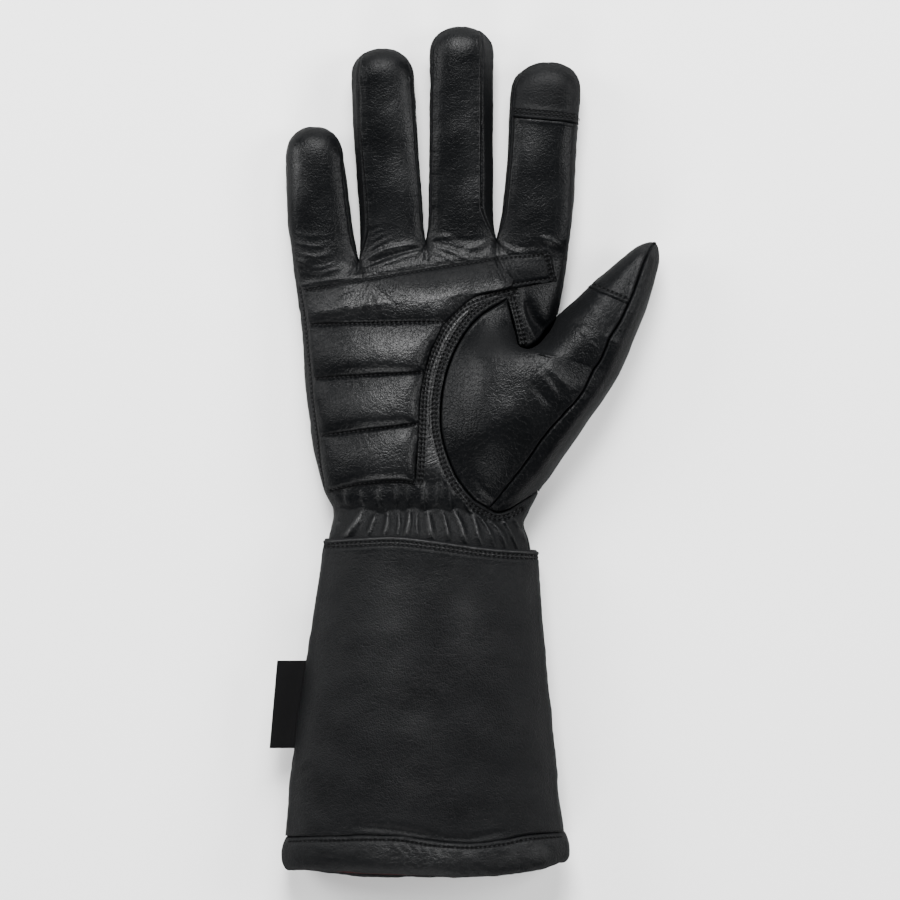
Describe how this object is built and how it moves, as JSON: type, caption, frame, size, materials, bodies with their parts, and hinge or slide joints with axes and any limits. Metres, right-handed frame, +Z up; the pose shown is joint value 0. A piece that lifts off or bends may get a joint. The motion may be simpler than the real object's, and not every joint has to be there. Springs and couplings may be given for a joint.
{
  "type": "leather gauntlet glove",
  "caption": "Right-hand leather gauntlet glove with a quilted palm pad, separate thumb, gathered wrist and flared cuff, lying palm up.",
  "frame": {"origin": "on the surface the glove lies on, under the middle of its bounding box", "axes": "+X across the palm towards the thumb, +Y from the cuff's mouth to the fingertips, +Z up out of the palm; the glove lies on the back of the hand"},
  "size_m": [0.1694, 0.3705, 0.0435],
  "materials": {
    "hand_leather": "satin black, fine grain",
    "cuff_leather": "satin black, fine grain",
    "lining": "matt woven",
    "label": "matt woven ribbon",
    "thread": "twisted black polyester thread"
  },
  "bodies": {
    "root": {"palm_panel": "hand_leather", "hand_back": "hand_leather", "fourchette_little_ring": "hand_leather", "fourchette_ring_middle": "hand_leather", "fourchette_middle_index": "hand_leather", "thumb_front": "hand_leather", "thumb_back": "hand_leather", "index_tip_patch": "hand_leather", "thumb_tip_patch": "hand_leather", "palm_pad": "hand_leather", "index_tab": "hand_leather", "cuff_front": "cuff_leather", "cuff_back": "cuff_leather", "cuff_hem": "cuff_leather", "lining_edge": "lining", "side_label": "label"}
  },
  "joints": []
}
